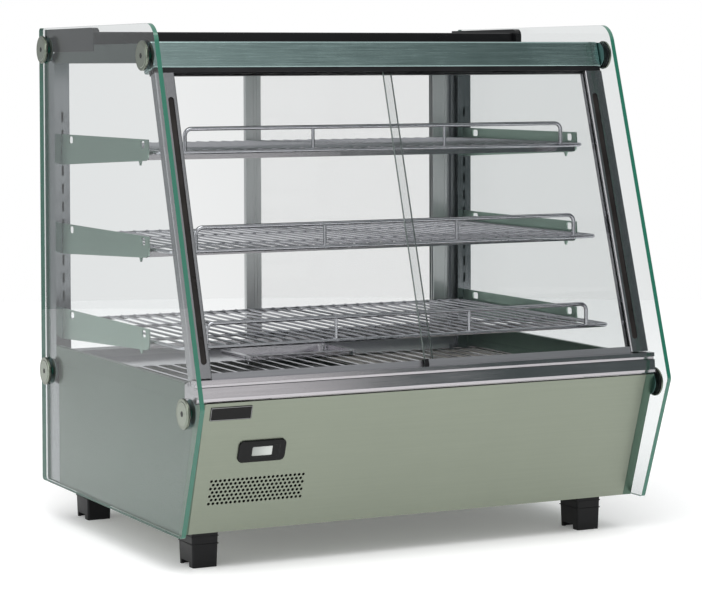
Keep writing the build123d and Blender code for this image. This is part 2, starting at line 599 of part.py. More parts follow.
# ---- shelves ----
def shelf(z, front_y):
    """Welded wire shelf: closed frame, wires front to back over two cross bars, and a front guard."""
    x = SHELF_X
    outline = RectangleRounded(2 * x, SHELF_REAR_Y - front_y, 8.0)
    loop = (Pos(0, (SHELF_REAR_Y + front_y) / 2, z) * outline).wire()
    frame = sweep(Plane(origin=loop @ 0, z_dir=loop % 0) * Circle(FRAME_R), path=loop)
    pieces = []
    pitch = 2 * x / (WIRES + 1)
    top = z + FRAME_R - WIRE_R * 0.4
    length = SHELF_REAR_Y - front_y + 2.0
    mid_y = (SHELF_REAR_Y + front_y) / 2
    for i in range(WIRES):
        wx = -x + pitch * (i + 1)
        pieces.append(Pos(wx, mid_y, top) * Rot(90, 0, 0) * Cylinder(WIRE_R, length))
    for y in (mid_y - 80.0, mid_y + 80.0):
        pieces.append(Pos(0, y, top - WIRE_R - 1.1) * Rot(0, 90, 0) * Cylinder(2.0, 2 * x))
    guard_y, guard_z = front_y + 1.0, z + GUARD_RISE
    left_leg = [(-GUARD_X, guard_y, z), (-GUARD_X, guard_y, guard_z)]
    right_leg = [(GUARD_X, guard_y, guard_z), (GUARD_X, guard_y, z)]
    pieces.append(bent_rod(left_leg + right_leg, FRAME_R, 9.0))
    for px in (-GUARD_POST_X, GUARD_POST_X):
        pieces.append(Pos(px, guard_y, z + GUARD_RISE / 2) * Cylinder(2.2, GUARD_RISE))
    return frame.fuse(*pieces)


def shelf_bracket(z):
    """Right-hand bracket: tapered plate with two windows, an inner ledge and hooks in the post."""
    rear = POST_FRONT_Y - GAP
    nose = BRACKET_FRONT_Y
    outline = [(rear, z + 16.5), (nose, z + 16.5), (nose - 1.5, z + 2.0), (nose + 1.0, z - 8.0),
               (nose + 8.0, z - 11.0), (rear, z - 26.0)]
    x0, x1 = BRACKET_X - BRACKET_T / 2, BRACKET_X + BRACKET_T / 2
    bracket = prism_x(outline, x0, x1)
    for mid_y, length in BRACKET_WINDOWS:
        plane = Plane(origin=(x0 - 1, mid_y, z + 9.4), x_dir=(0, 1, 0), z_dir=(1, 0, 0))
        bracket = bracket - extrude(plane * RectangleRounded(length, 9.6, 3.0), amount=BRACKET_T + 2)
    ledge_top = z - FRAME_R - LEDGE_GAP
    bracket = bracket + box(x0 - 8.5, x0, nose + 6, rear - 1, ledge_top - 1.6, ledge_top)
    tab = [(nose + 31, z - 12.0), (nose + 23, z - 11.5), (nose + 26, z - 17.5), (nose + 28, z - 17.5)]
    bracket = bracket + prism_x(tab, x0, x1)
    for dz in HOOK_DZ:
        h = z + dz
        hook = [(rear - 1, h + 4), (rear + 7, h + 4), (rear + 7, h - 6.5), (rear + 3, h - 6.5),
                (rear + 3, h - 2), (rear - 1, h - 4)]
        bracket = bracket + prism_x(hook, x0, x1)
    return bracket


def tie_bar(z):
    """Flat cross bar between the front ends of a pair of brackets."""
    x = BRACKET_X - BRACKET_T / 2 - 0.05
    return box(-x, x, BRACKET_FRONT_Y + 1.5, BRACKET_FRONT_Y + 4.5, z - 10.0, z - FRAME_R - 0.4)


# ---- rear controls ----
CONTROL_Z = 135.0
KNOB_X, KNOB_R = 170.0, 17.0
SHAFT_R, SHAFT_FIT = 3.0, 0.06
SWITCH_XS = (60.0, 105.0)
SWITCH_W, SWITCH_H = 21.0, 26.0    # opening of a rocker switch
SWITCH_GAP = 0.5                   # either side of the rocker
GLAND_X, GLAND_Z, GLAND_R = 250.0, 85.0, 8.0
CORD_HOLE_R = 4.2
PLATE_FACE_Y = REAR_PANEL_Y + SHEET + 1.0
PLATE_X, PLATE_HALF_H = (35.0, 215.0), 34.0


def control_plate():
    """Plate with a raised bezel round each rocker and the thermostat's shaft hole."""
    z0, z1 = CONTROL_Z - PLATE_HALF_H, CONTROL_Z + PLATE_HALF_H
    plate = box(*PLATE_X, REAR_PANEL_Y + SHEET, PLATE_FACE_Y, z0, z1)
    for cx in SWITCH_XS:
        wide, tall = SWITCH_W / 2, SWITCH_H / 2
        z0, z1 = CONTROL_Z - tall, CONTROL_Z + tall
        rim = 2.5
        x0, x1 = cx - wide - rim, cx + wide + rim
        plate = plate + box(x0, x1, PLATE_FACE_Y, PLATE_FACE_Y + rim, z0 - rim, z1 + rim)
        plate = plate - box(cx - wide, cx + wide, REAR_PANEL_Y, PLATE_FACE_Y + 4, z0, z1)
    return plate - cylinder_y(KNOB_X, PLATE_FACE_Y, CONTROL_Z, SHAFT_R + SHAFT_FIT, 12.0)


def rocker(cx):
    """Rocker with its lower half proud, as it stands when off."""
    half = SWITCH_W / 2 - SWITCH_GAP
    face, tall = PLATE_FACE_Y, 12.2
    rocking_face = [(face + 5.2, -tall), (face + 2.0, 0.0), (face + 3.2, tall)]
    hidden_side = [(face - 3.0, tall - 0.6), (face - 3.0, 0.6 - tall)]
    section = [(y, CONTROL_Z + z) for y, z in rocking_face + hidden_side]
    return prism_x(section, cx - half, cx + half)


def thermostat():
    """Knob with a grip bar across its face and its shaft through the plate."""
    knob = cylinder_y(KNOB_X, PLATE_FACE_Y + 5.0, CONTROL_Z, KNOB_R, 9.0)
    knob = fillet(knob.edges().filter_by(GeomType.CIRCLE).sort_by(Axis.Y)[-1], 1.5)
    y0, y1 = PLATE_FACE_Y + 9.0, PLATE_FACE_Y + 11.0
    grip = box(KNOB_X - 3.5, KNOB_X + 3.5, y0, y1, CONTROL_Z - KNOB_R + 2, CONTROL_Z + KNOB_R - 2)
    shaft = cylinder_y(KNOB_X, PLATE_FACE_Y - 7.0, CONTROL_Z, SHAFT_R, 16.0)
    return knob + grip + shaft


def cable_gland():
    """Gland through the rear panel, with its flange outside and the cord's hole right through."""
    gland = cylinder_y(GLAND_X, REAR_PANEL_Y + 1.0, GLAND_Z, GLAND_R, 16.0)
    gland = gland + cylinder_y(GLAND_X, REAR_PANEL_Y + SHEET + 3.0, GLAND_Z, GLAND_R + 3.0, 5.8)
    return gland - cylinder_y(GLAND_X, REAR_PANEL_Y, GLAND_Z, CORD_HOLE_R, 40.0)


def controls():
    save("control_plate", control_plate())
    for name, cx in zip(("power_rocker", "lamp_rocker"), SWITCH_XS):
        save(name, rocker(cx))
    save("thermostat_knob", thermostat())
    save("cable_gland", cable_gland())


def screws():
    """Pan-head screws of the rear panel and the control plate."""
    solids = []
    spots = [(x, REAR_PANEL_Y + SHEET, z) for x in (-295, -100, 295) for z in (66, 205)]
    spots += [(x, PLATE_FACE_Y, z) for x in (41, 209) for z in (CONTROL_Z - 28, CONTROL_Z + 28)]
    for x, y, z in spots:
        head = cylinder_y(x, y + 1.05, z, 3.2, 2.0)
        solids.append(head - Pos(x, y + 2.0, z) * Box(4.4, 1.4, 0.8))
    save("rear_screws", *solids)


def main():
    right_glass = glass_end()
    save("glass_end_right", right_glass)
    save("glass_end_left", mirrored(right_glass))
    standoffs()
    side = side_panel()
    save("base_side_panel_right", side)
    save("base_side_panel_left", mirrored(side))
    save("base_front_panel", front_panel())
    save("base_bottom_pan", bottom_pan())
    save("base_rear_panel", rear_panel())
    thermometer()
    badge()
    feet()
    save("front_sill", front_sill())
    rail = deck_rail()
    save("deck_side_rails", rail, mirrored(rail))
    save("deck_plate", deck_plate())
    save("water_pan", water_pan())
    under_deck()
    post = rear_post()
    save("rear_post_right", post)
    save("rear_post_left", mirrored(post))
    save("rear_track_bottom", rear_track_low())
    save("rear_track_top", rear_track_high())
    doors = {"left": (INNER_DOOR, STILE, INNER_DOOR[0] + STILE / 2),
             "right": (OUTER_DOOR, PULL_STILE, OUTER_DOOR[1] - PULL_STILE / 2)}
    for name, ((x0, x1, y), right_stile, pull_x) in doors.items():
        frame, glass = rear_door(x0, x1, y, right_stile, pull_x)
        save(f"rear_door_frame_{name}", frame)
        save(f"rear_door_glass_{name}", glass)
    save("front_top_rail", top_rail())
    plug = rail_plug()
    save("front_top_rail_plugs", plug, mirrored(plug))
    save("front_top_rail_seal", rail_seal())
    rail = roof_rail()
    save("roof_side_rails", rail, mirrored(rail))
    save("roof_panel", roof_panel())
    save("rear_housing", rear_housing())
    save("rear_housing_soffit", housing_base())
    plate = end_plate()
    save("rear_housing_ends", plate, mirrored(plate))
    lamp()
    for name, side in (("left", -1), ("right", 1)):
        glass, channel, grip, pull = front_pane(side)
        save(f"front_pane_glass_{name}", glass)
        save(f"front_pane_channel_{name}", channel)
        save(f"front_pane_profile_{name}", grip)
        save(f"front_pane_pull_{name}", pull)
    save("front_pane_stop_right", pane_stop())
    for name, (z, front_y) in SHELVES.items():
        save(f"shelf_{name}", shelf(z, front_y))
    brackets = [shelf_bracket(z) for z, _ in SHELVES.values()]
    save("shelf_brackets_right", *brackets)
    save("shelf_brackets_left", *[mirrored(b) for b in brackets])
    save("shelf_tie_bars", *[tie_bar(z) for z, _ in SHELVES.values()])
    controls()
    screws()


main()
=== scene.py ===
import math
import bpy
import bmesh
from mathutils import Matrix, Vector


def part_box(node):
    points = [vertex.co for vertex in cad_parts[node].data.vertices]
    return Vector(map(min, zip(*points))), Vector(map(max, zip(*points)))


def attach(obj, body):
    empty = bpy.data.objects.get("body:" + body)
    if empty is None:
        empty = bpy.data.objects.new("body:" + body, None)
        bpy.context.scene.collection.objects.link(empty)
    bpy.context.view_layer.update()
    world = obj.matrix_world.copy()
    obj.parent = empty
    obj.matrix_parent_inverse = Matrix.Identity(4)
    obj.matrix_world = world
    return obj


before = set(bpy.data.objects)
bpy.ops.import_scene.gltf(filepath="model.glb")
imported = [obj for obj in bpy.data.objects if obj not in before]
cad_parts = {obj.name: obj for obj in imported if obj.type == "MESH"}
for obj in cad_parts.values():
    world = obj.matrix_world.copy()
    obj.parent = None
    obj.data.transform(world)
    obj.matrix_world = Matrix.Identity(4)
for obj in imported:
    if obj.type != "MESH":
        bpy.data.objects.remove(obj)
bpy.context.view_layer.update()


# ---- shader maths ----
class Signal:
    """One output of a material's node tree. Arithmetic on signals adds Math nodes."""

    def __init__(self, tree, socket=None):
        self.tree = tree
        self.socket = socket

    def node(self, kind, settings=None, values=None, output=0):
        """Adds a node: first its settings, then the values or links of its sockets."""
        node = self.tree.nodes.new(kind)
        for name, value in (settings or {}).items():
            if name == "stops":
                self.set_stops(node.color_ramp, value)
            else:
                setattr(node, name, value)
        for name, value in (values or {}).items():
            if isinstance(value, Signal):
                self.tree.links.new(value.socket, node.inputs[name])
            else:
                node.inputs[name].default_value = value
        return Signal(self.tree, node.outputs[output])

    @staticmethod
    def set_stops(ramp, stops):
        while len(ramp.elements) < len(stops):
            ramp.elements.new(1.0)
        for element, (place, colour) in zip(ramp.elements, stops):
            element.position = place
            element.color = (*colour, 1.0)

    def math(self, operation, *values, clamp=False):
        settings = {"operation": operation, "use_clamp": clamp}
        return self.node("ShaderNodeMath", settings, dict(enumerate(values)))

    def __add__(self, other):
        return self.math("ADD", self, other)

    def __sub__(self, other):
        return self.math("SUBTRACT", self, other)

    def __rsub__(self, other):
        return self.math("SUBTRACT", other, self)

    def __mul__(self, other):
        return self.math("MULTIPLY", self, other)

    def __pow__(self, other):
        return self.math("POWER", self, other)

    __radd__ = __add__
    __rmul__ = __mul__

    def clamped(self):
        return self.math("ADD", self, 0.0, clamp=True)

    def ramp(self, low, high):
        """0 below low, 1 above high, smooth between."""
        settings = {"interpolation_type": "SMOOTHSTEP"}
        return self.node("ShaderNodeMapRange", settings, {0: self, 1: low, 2: high})

    def blend(self, colour_a, colour_b):
        """colour_a where this is 0, colour_b where it is 1."""
        values = {0: self, 6: colour_a, 7: colour_b}
        return self.node("ShaderNodeMix", {"data_type": "RGBA"}, values, 2)


def linear(code):
    """An sRGB hex colour as linear RGBA."""
    channels = [int(code[i:i + 2], 16) / 255 for i in (0, 2, 4)]
    return tuple(c / 12.92 if c <= 0.04045 else ((c + 0.055) / 1.055) ** 2.4 for c in channels) + (1.0,)


def scaled(colour, k):
    return tuple(k * c for c in colour[:3]) + (1.0,)


def start(name):
    """A new material and the signal that its nodes grow from, in object coordinates."""
    material = bpy.data.materials.new(name)
    material.use_nodes = True
    tree = material.node_tree
    tree.nodes.clear()
    return material, Signal(tree).node("ShaderNodeTexCoord", output="Object")


def close(material, shader):
    output = material.node_tree.nodes.new("ShaderNodeOutputMaterial")
    material.node_tree.links.new(shader.socket, output.inputs["Surface"])
    return material


def noise(place, scale, detail=3.0, rough=0.55, stretch=(1, 1, 1)):
    """Noise in metres: scale is features per metre, stretch squeezes it along an axis."""
    spot = place.node("ShaderNodeMapping", values={"Vector": place, "Scale": stretch})
    values = {"Vector": spot, "Scale": scale, "Detail": detail, "Roughness": rough}
    return place.node("ShaderNodeTexNoise", values=values)


def bump(height, distance, strength=1.0):
    values = {"Height": height, "Distance": distance, "Strength": strength}
    return height.node("ShaderNodeBump", values=values)


def principled(place, **sockets):
    return place.node("ShaderNodeBsdfPrincipled", values=sockets)


# ---- finishes ----
GRAIN_X = (0.012, 1.0, 1.0)
GRAIN_Y = (1.0, 0.012, 1.0)
GRAIN_Z = (1.0, 1.0, 0.012)


def brushed_steel(name, colour, grain=GRAIN_X, rough=0.3, streak=0.22, smudge=0.10):
    """Satin stainless sheet: long grain, finer scratches over it and faint handling smudges."""
    material, place = start(name)
    grain_lines = noise(place, 420.0, 4.0, 0.6, grain)
    scratches = noise(place, 1500.0, 2.0, 0.5, grain)
    marks = noise(place, 7.0, 4.0, 0.6)
    tone = (grain_lines - 0.5) * (2.4 * streak) + (marks - 0.5) * (3.0 * smudge) + 0.5
    base = tone.clamped().blend(scaled(colour, 0.66), scaled(colour, 1.28))
    roughness = (scratches - 0.5) * 0.22 + (marks - 0.5) * 0.16 + rough
    normal = bump(grain_lines + scratches * 0.6, 0.00006, 0.6)
    shader = principled(place, **{
        "Base Color": base, "Metallic": 1.0, "Roughness": roughness, "Normal": normal,
    })
    return close(material, shader)


def anodised(name, colour, grain=GRAIN_X, rough=0.34):
    """Extruded aluminium: fine die lines along the length."""
    material, place = start(name)
    lines = noise(place, 700.0, 3.0, 0.5, grain)
    marks = noise(place, 9.0, 3.0)
    tone = ((lines - 0.5) * 0.5 + (marks - 0.5) * 0.25 + 0.5).clamped()
    base = tone.blend(scaled(colour, 0.75), scaled(colour, 1.2))
    normal = bump(lines, 0.00003, 0.5)
    rough_map = (lines - 0.5) * 0.12 + rough
    shader = principled(place, **{
        "Base Color": base, "Metallic": 1.0, "Roughness": rough_map, "Normal": normal,
    })
    return close(material, shader)


def chrome(name, colour, rough=0.10):
    """Bright plated metal: slight waviness and small dull spots."""
    material, place = start(name)
    waves = noise(place, 60.0, 2.0)
    spots = noise(place, 260.0, 3.0, 0.7).ramp(0.62, 0.74)
    base = (waves * 0.5 + spots * 0.5).clamped().blend(colour, scaled(colour, 0.62))
    roughness = spots * 0.22 + (waves - 0.5) * 0.08 + rough
    normal = bump(waves, 0.0002, 0.25)
    shader = principled(place, **{
        "Base Color": base, "Metallic": 1.0, "Roughness": roughness, "Normal": normal,
    })
    return close(material, shader)


def moulded(name, colour, rough=0.5, texture=1.0):
    """Moulded plastic or rubber: fine leathery texture and a dusty variation of its gloss."""
    material, place = start(name)
    skin = noise(place, 1400.0, 3.0, 0.6)
    dust = noise(place, 22.0, 4.0, 0.6)
    base = (dust.ramp(0.35, 0.75) * 0.8).blend(colour, scaled(colour, 1.9))
    roughness = (dust - 0.5) * 0.3 + rough
    normal = bump(skin, 0.00008 * texture, 0.5)
    shader = principled(place, **{
        "Base Color": base, "Roughness": roughness, "Normal": normal, "Specular IOR Level": 0.22,
    })
    return close(material, shader)


def painted(name, colour, rough=0.4):
    """Sheet metal in satin enamel with a fine orange-peel surface."""
    material, place = start(name)
    peel = noise(place, 500.0, 2.0)
    wear = noise(place, 14.0, 4.0, 0.65)
    base = wear.ramp(0.3, 0.8).blend(scaled(colour, 0.8), scaled(colour, 1.5))
    roughness = (wear - 0.5) * 0.24 + rough
    normal = bump(peel, 0.00005, 0.5)
    shader = principled(place, **{
        "Base Color": base, "Roughness": roughness, "Normal": normal, "Specular IOR Level": 0.3,
    })
    return close(material, shader)


END_TINT = (0.895, 0.905, 0.905, 1.0)
FRONT_TINT = (0.925, 0.93, 0.93, 1.0)
REAR_TINT = (0.985, 0.985, 0.985, 1.0)
GREEN_EDGE = linear("1A5746")
GREY_EDGE = linear("59625F")


def pane(name, facing, tint, edge, glow, sheen=0.04, streaks=0.02):
    """Float glass: clear across its faces, mirror-like at a slant, and green in its ground edges, which glow
    where glow is above zero: painted light standing in for light carried through the glass.

    facing is the direction that the two clear faces look along.
    """
    material, place = start(name)
    normal = place.node("ShaderNodeTexCoord", output="Normal")
    cosine = place.node("ShaderNodeVectorMath", {"operation": "DOT_PRODUCT"}, {0: normal, 1: facing}, "Value")
    is_edge = 1.0 - cosine.math("ABSOLUTE", cosine).ramp(0.55, 0.75)
    slant = place.node("ShaderNodeLayerWeight", values={"Blend": 0.5}, output="Facing")
    mirror = slant ** 5.0 * 0.7 + sheen
    wipe = noise(place, 26.0, 4.0, 0.6)
    gloss_rough = wipe * streaks
    clear = place.node("ShaderNodeBsdfTransparent", values={"Color": tint})
    bright = {"Color": (0.95, 0.96, 0.96, 1.0), "Roughness": gloss_rough}
    gloss = place.node("ShaderNodeBsdfAnisotropic", values=bright)
    face = place.node("ShaderNodeMixShader", values={0: mirror, 1: clear, 2: gloss})
    grind = noise(place, 900.0, 3.0)
    rim_colour = grind.blend(scaled(edge, 0.7), scaled(edge, 1.35))
    # The rim's emission (glow) is painted light: it brightens the green edge band as if light came through
    # the glass.
    rim = principled(place, **{
        "Base Color": rim_colour, "Roughness": 0.16 + grind * 0.1, "Coat Weight": 0.6,
        "Emission Color": rim_colour, "Emission Strength": glow,
    })
    return close(material, place.node("ShaderNodeMixShader", values={0: is_edge, 1: face, 2: rim}))


def frosted_lamp(name):
    """Frosted lamp glass with a faint unevenness."""
    material, place = start(name)
    bloom = noise(place, 40.0, 3.0)
    base = bloom.blend(linear("E9E7DF"), linear("F6F5F0"))
    shader = principled(place, **{"Base Color": base, "Roughness": 0.25 + bloom * 0.1, "Coat Weight": 0.5})
    return close(material, shader)


def display(name):
    """Unlit liquid crystal window: pale grey-green, with a painted reflection that makes it lighter to one
    side.
    """
    material, place = start(name)
    low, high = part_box("thermometer_display")
    across = place.node("ShaderNodeSeparateXYZ", values={0: place})
    # Lighter towards the high-X end: a painted reflection across the window.
    painted_glare = across.ramp(low.x, high.x)
    cells = noise(place, 1200.0, 2.0)
    base = (painted_glare * 0.8 + cells * 0.2).clamped().blend(linear("8E928E"), linear("C3C6C2"))
    shader = principled(place, **{"Base Color": base, "Roughness": 0.2, "Coat Weight": 0.8})
    return close(material, shader)


def oxidised_tube(name):
    """Heating tube with brown heat marks."""
    material, place = start(name)
    heat = noise(place, 18.0, 4.0, 0.6)
    base = heat.ramp(0.3, 0.7).blend(linear("2B2A2C"), linear("5B5048"))
    shader = principled(place, **{"Base Color": base, "Metallic": 0.7, "Roughness": 0.4 + heat * 0.3})
    return close(material, shader)


def paint(material, *nodes):
    """Gives CAD nodes a material."""
    for node in nodes:
        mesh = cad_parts[node].data
        mesh.materials.clear()
        mesh.materials.append(material)


# ---- the sloped front's own directions ----
def lean_angle():
    """The front pane's angle from upright, from the box of its slab."""
    thickness = 0.004
    low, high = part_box("front_pane_glass_left")
    depth, rise = high.y - low.y, high.z - low.z
    lean = math.atan2(depth, rise)
    for _ in range(6):
        lean = math.atan2(depth - thickness * math.cos(lean), rise - thickness * math.sin(lean))
    return lean


LEAN = lean_angle()
OUTWARD = Vector((0, -math.cos(LEAN), math.sin(LEAN)))


def finish_all():
    front_steel = brushed_steel("satin_steel_front", linear("858B7E"), GRAIN_X, 0.36, 0.06, 0.07)
    # The side steel is a darker copy of the front steel: its lower base colour is painted shade for the side
    # panels and deck side rails.
    shaded_side_steel = brushed_steel("satin_steel_side_shaded", linear("566A5D"), GRAIN_Y, 0.36, 0.06, 0.06)
    rail_steel = brushed_steel("brushed_rail_steel", linear("92A7A5"), GRAIN_X, 0.24, 0.36, 0.14)
    bright_steel = brushed_steel("polished_steel_x", linear("B4B1B4"), GRAIN_X, 0.09, 0.14, 0.08)
    upright_steel = brushed_steel("polished_steel_upright", linear("94979A"), GRAIN_Z, 0.12, 0.36, 0.14)
    deck_steel = brushed_steel("polished_deck_steel", linear("D2CFD4"), GRAIN_Y, 0.12, 0.10, 0.06)
    bracket_steel = brushed_steel("bracket_steel", linear("98AEA2"), GRAIN_Y, 0.36, 0.10, 0.08)
    roof_steel = brushed_steel("roof_steel", linear("5F6A66"), GRAIN_X, 0.3, 0.14, 0.08)
    cap_steel = brushed_steel("turned_caps", linear("7A8074"), GRAIN_Z, 0.26, 0.16, 0.08)
    bolt_steel = brushed_steel("bolt_steel", linear("4F6A68"), GRAIN_X, 0.3, 0.16, 0.08)
    paint(front_steel, "base_front_panel", "base_rear_panel", "base_bottom_pan")
    paint(shaded_side_steel, "base_side_panel_left", "base_side_panel_right", "deck_side_rails")
    paint(rail_steel, "front_top_rail", "front_top_rail_plugs")
    paint(bright_steel, "front_sill", "shelf_tie_bars", "control_plate")
    paint(upright_steel, "rear_post_left", "rear_post_right")
    paint(deck_steel, "deck_plate", "water_pan")
    paint(painted("pale_baffle", linear("B9B4AE"), 0.5), "air_baffle")
    paint(bracket_steel, "shelf_brackets_left", "shelf_brackets_right")
    paint(roof_steel, "roof_panel", "rear_housing_soffit", "roof_side_rails")
    paint(chrome("chromed_wire", linear("BBBBC0"), 0.08), "shelf_top", "shelf_middle", "shelf_bottom")
    paint(chrome("bright_screws", linear("C9C9C9"), 0.2), "rear_screws")
    paint(cap_steel, "standoff_caps")
    paint(bolt_steel, "standoff_bolts")
    upright = anodised("anodised_extrusion", linear("9C9C9F"), GRAIN_Z, 0.2)
    level = anodised("anodised_track", linear("A2A2A6"), GRAIN_X)
    paint(upright, "front_pane_profile_left", "front_pane_profile_right")
    door_metal = anodised("door_aluminium", linear("CFD1D1"), GRAIN_Z, 0.3)
    paint(door_metal, "rear_door_frame_left", "rear_door_frame_right")
    paint(level, "front_pane_channel_left", "front_pane_channel_right", "rear_track_bottom", "rear_track_top")
    black = moulded("black_moulding", linear("0D0D0F"), 0.42)
    paint(black, "feet", "front_pane_stop_right", "front_top_rail_seal", "lamp_holders", "cable_gland")
    paint(black, "thermostat_knob", "power_rocker", "lamp_rocker", "standoff_barrels")
    paint(moulded("gloss_bezel", linear("050506"), 0.12, 0.2), "thermometer_bezel")
    grip = moulded("dark_pull_insert", linear("1D1A19"), 0.32)
    paint(grip, "front_pane_pull_left", "front_pane_pull_right")
    paint(moulded("gloss_black_plate", linear("040404"), 0.1, 0.1), "blank_name_plate")
    # The heater plate's black is painted shade: a dark sheet standing in for the shadow under the left part
    # of the deck slots.
    paint(painted("black_enamel", linear("0C0C0E"), 0.3), "rear_housing", "rear_housing_ends", "heater_plate")
    paint(display("lcd_window"), "thermometer_display")
    paint(oxidised_tube("oxidised_heater"), "heating_element")
    paint(frosted_lamp("frosted_lamp"), "lamp_tube")
    # The end panes get glow 0.25: painted light in their green edges.
    ends = pane("glass_end", (1, 0, 0), END_TINT, GREEN_EDGE, 0.25, 0.01)
    paint(ends, "glass_end_left", "glass_end_right")
    fronts = pane("front_pane", tuple(OUTWARD), FRONT_TINT, GREY_EDGE, 0.0, 0.02)
    paint(fronts, "front_pane_glass_left", "front_pane_glass_right")
    rears = pane("rear_pane", (0, 1, 0), REAR_TINT, GREY_EDGE, 0.0, 0.01)
    paint(rears, "rear_door_glass_left", "rear_door_glass_right")


finish_all()


# ---- small fittings ----
class Fitting:
    """A piece under construction: bmesh shapes added one by one, then settled on its body."""

    def __init__(self, name):
        self.name = name
        self.shape = bmesh.new()

    def block(self, low, high, round_by=0.0006, turn=None):
        """A box between two corners with softened edges; turn places it."""
        low, high = Vector(low), Vector(high)
        size, middle = high - low, (high + low) / 2
        fresh = bmesh.ops.create_cube(self.shape, size=1.0)["verts"]
        bmesh.ops.scale(self.shape, vec=size, verts=fresh)
        bmesh.ops.translate(self.shape, vec=middle, verts=fresh)
        return self.soften(fresh, min(round_by, 0.4 * min(size)), turn)

    def turned(self, radius, low, high, top=None, segments=40, round_by=0.0005, turn=None):
        """A turned disc or cone along local Z with softened rims."""
        fresh = bmesh.ops.create_cone(self.shape, cap_ends=True, segments=segments, radius1=radius,
                                      radius2=radius if top is None else top, depth=high - low)["verts"]
        bmesh.ops.translate(self.shape, vec=(0, 0, (high + low) / 2), verts=fresh)
        return self.soften(fresh, min(round_by, 0.4 * (high - low)), turn, rims_only=True)

    def soften(self, fresh, round_by, turn, rims_only=False):
        edges = {edge for vert in fresh for edge in vert.link_edges}
        if rims_only:
            edges = {e for e in edges if abs(e.verts[0].co.z - e.verts[1].co.z) < 1e-7}
        before = set(self.shape.verts) - set(fresh)
        bmesh.ops.bevel(self.shape, geom=list(edges), offset=round_by, offset_type="OFFSET", segments=2,
                        profile=0.5, affect="EDGES", material=-1)
        if turn is not None:
            grown = [vert for vert in self.shape.verts if vert not in before]
            bmesh.ops.transform(self.shape, matrix=turn, verts=grown)
        return self

    def settle(self, material, body, slot, smooth=True):
        bmesh.ops.recalc_face_normals(self.shape, faces=self.shape.faces)
        for face in self.shape.faces:
            face.smooth = smooth and len(face.verts) == 4 and face.calc_area() < 4e-5
        mesh = bpy.data.meshes.new(self.name)
        self.shape.to_mesh(mesh)
        self.shape.free()
        mesh.materials.append(material)
        piece = bpy.data.objects.new(self.name, mesh)
        bpy.context.scene.collection.objects.link(piece)
        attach(piece, body)
        return piece


def separate(node, reach=0.03):
    """Boxes of a node's separate solids, told apart by distance."""
    groups = []
    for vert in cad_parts[node].data.vertices:
        for group in groups:
            if all(group[0][i] - reach < vert.co[i] < group[1][i] + reach for i in range(3)):
                group[0] = Vector(map(min, group[0], vert.co))
                group[1] = Vector(map(max, group[1], vert.co))
                break
        else:
            groups.append([vert.co.copy(), vert.co.copy()])
    return groups


def facing_y(x, y, z):
    """Local Z looks out of the serving side."""
    return Matrix.Translation((x, y, z)) @ Matrix.Rotation(math.radians(-90), 4, "X")


def facing_x(x, y, z, side):
    return Matrix.Translation((x, y, z)) @ Matrix.Rotation(math.radians(90 * side), 4, "Y")


PANEL_RETURN = 0.014               # depth of the front panel's folded returns
BEZEL_MARGIN = 0.008               # bezel left of its right end where the window stops
WINDOW_HALF_HEIGHT = 0.0072
TICKS, TICK_R = 11, 0.0195         # marks round the thermostat and where they begin
DIAL_START, DIAL_STEP = -135, 27   # degrees
NUT_R, NUT_BORE_R, NUT_DEPTH = 0.0095, 0.0046, 0.004
BAND_INSET, BAND_HALF = 0.0001, 0.0006
LOUVRES, LOUVRE_LOW_Z, LOUVRE_PITCH = 9, 0.088, 0.010
LOUVRE_X = (-0.250, -0.130)


def on_front_panel(node):
    """Frame on the sloped lower front, centred on a node: local X along the case, local Z outward."""
    low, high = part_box("base_front_panel")
    lean = math.atan2(high.y - low.y - PANEL_RETURN, high.z - low.z)
    node_low, node_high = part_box(node)
    middle = (node_low + node_high) / 2
    tilt = Matrix.Rotation(math.radians(90) + lean, 4, "X")
    return Matrix.Translation(middle) @ tilt


def cap_faces():
    """Turned face and screw recess of each standoff cap."""
    rings, sockets = Fitting("cap_rings"), Fitting("cap_sockets")
    for low, high in separate("standoff_caps"):
        side = 1 if high.x > 0 else -1
        outer = high.x if side > 0 else low.x
        y, z = (low.y + high.y) / 2, (low.z + high.z) / 2
        radius = (high.y - low.y) / 2
        turn = facing_x(outer - side * 0.0007, y, z, side)
        rings.turned(radius * 0.82, 0.0, 0.0011, radius * 0.78, turn=turn)
        inner = facing_x(outer - side * 0.0001, y, z, side)
        sockets.turned(radius * 0.2, 0.0, 0.0007, segments=6, round_by=0.0001, turn=inner)
    polished = brushed_steel("cap_face_steel", linear("838A7E"), GRAIN_Y, 0.2, 0.14, 0.08)
    rings.settle(polished, "chassis", "standoff_steel")
    sockets.settle(moulded("socket_shadow", linear("1B1C1B"), 0.5), "chassis", "black_plastic")


def thermometer_details():
    """Raised inner rim round the window, and a dark lens right of the display."""
    low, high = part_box("thermometer_bezel")
    show_low, show_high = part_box("thermometer_display")
    shift = (show_low.x + show_high.x) / 2 - (low.x + high.x) / 2
    turn = on_front_panel("thermometer_display")
    edge = -(show_high.x - show_low.x) / 2
    right = (high.x - low.x) / 2 - shift - BEZEL_MARGIN
    tall = WINDOW_HALF_HEIGHT
    rim = Fitting("thermometer_rim")
    for a, b in ((-tall - 0.0014, -tall), (tall, tall + 0.0014)):
        rim.block((edge - 0.0016, a, -0.0004), (right, b, 0.0014), turn=turn)
    for a, b in ((edge - 0.0016, edge - 0.0002), (right - 0.0014, right)):
        rim.block((a, -tall, -0.0004), (b, tall, 0.0014), turn=turn)
    rim.settle(moulded("bezel_rim", linear("101011"), 0.16, 0.3), "chassis", "black_plastic")
    lens = Fitting("thermometer_dark_lens")
    lens.block((-edge + 0.0003, -tall + 0.0003, -0.0006), (right - 0.0016, tall - 0.0003, 0.0006), turn=turn)
    lens.settle(moulded("smoked_lens", linear("2A241D"), 0.12, 0.1), "chassis", "display_window")


